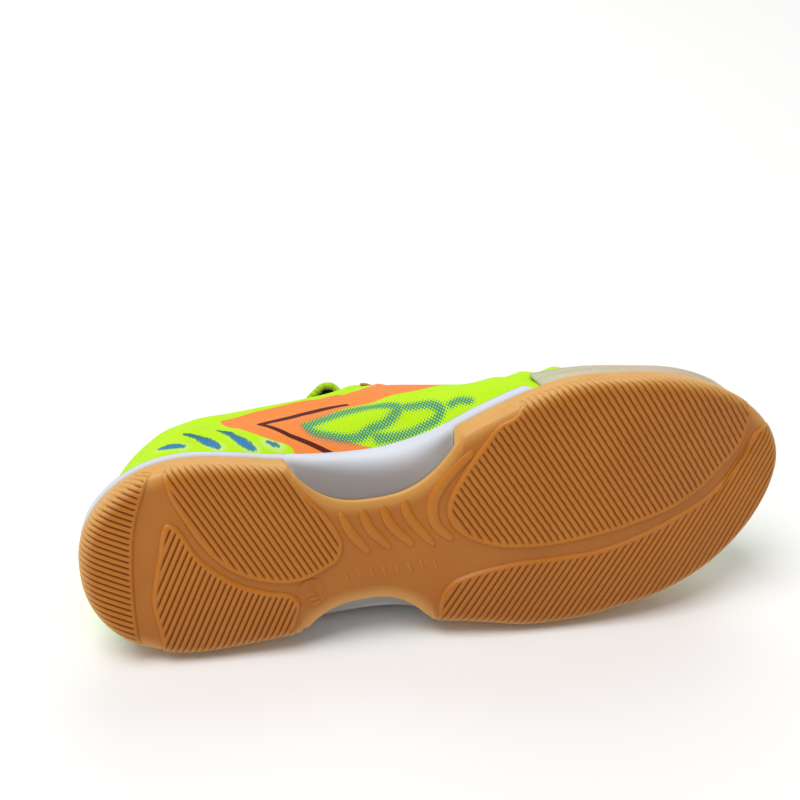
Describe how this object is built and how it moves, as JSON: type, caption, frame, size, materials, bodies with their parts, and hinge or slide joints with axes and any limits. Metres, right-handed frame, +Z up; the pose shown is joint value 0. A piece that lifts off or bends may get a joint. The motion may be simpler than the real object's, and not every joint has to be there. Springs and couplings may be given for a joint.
{
  "type": "indoor court shoe",
  "caption": "Left indoor court shoe lying on its lateral side, with a gum sole of ribbed pods, a white midsole, a knitted lace-up upper and a film toe guard.",
  "frame": {"origin": "centre of the bounding box's base, on the floor that the shoe lies on", "axes": "+X runs from heel to toe, +Z up from the lateral side that is on the floor to the medial side, and +Y from the tread towards the top of the upper"},
  "size_m": [0.2788, 0.1206, 0.1014],
  "materials": {
    "gum": "satin gum rubber with fine ribs",
    "midsole_foam": "smooth moulded foam skin",
    "knit": "fine knit with printed panels",
    "tongue_knit": "padded knit",
    "footbed": "brushed textile on foam",
    "film": "thin satin film",
    "eyestay": "matt fused film",
    "lace": "flat woven lace"
  },
  "bodies": {
    "root": {"outsole": "gum", "midsole": "midsole_foam", "upper": "knit", "tongue": "tongue_knit", "insole": "footbed", "toe_guard": "film", "eyestay": "eyestay", "lace_crossings": "lace"}
  },
  "joints": []
}
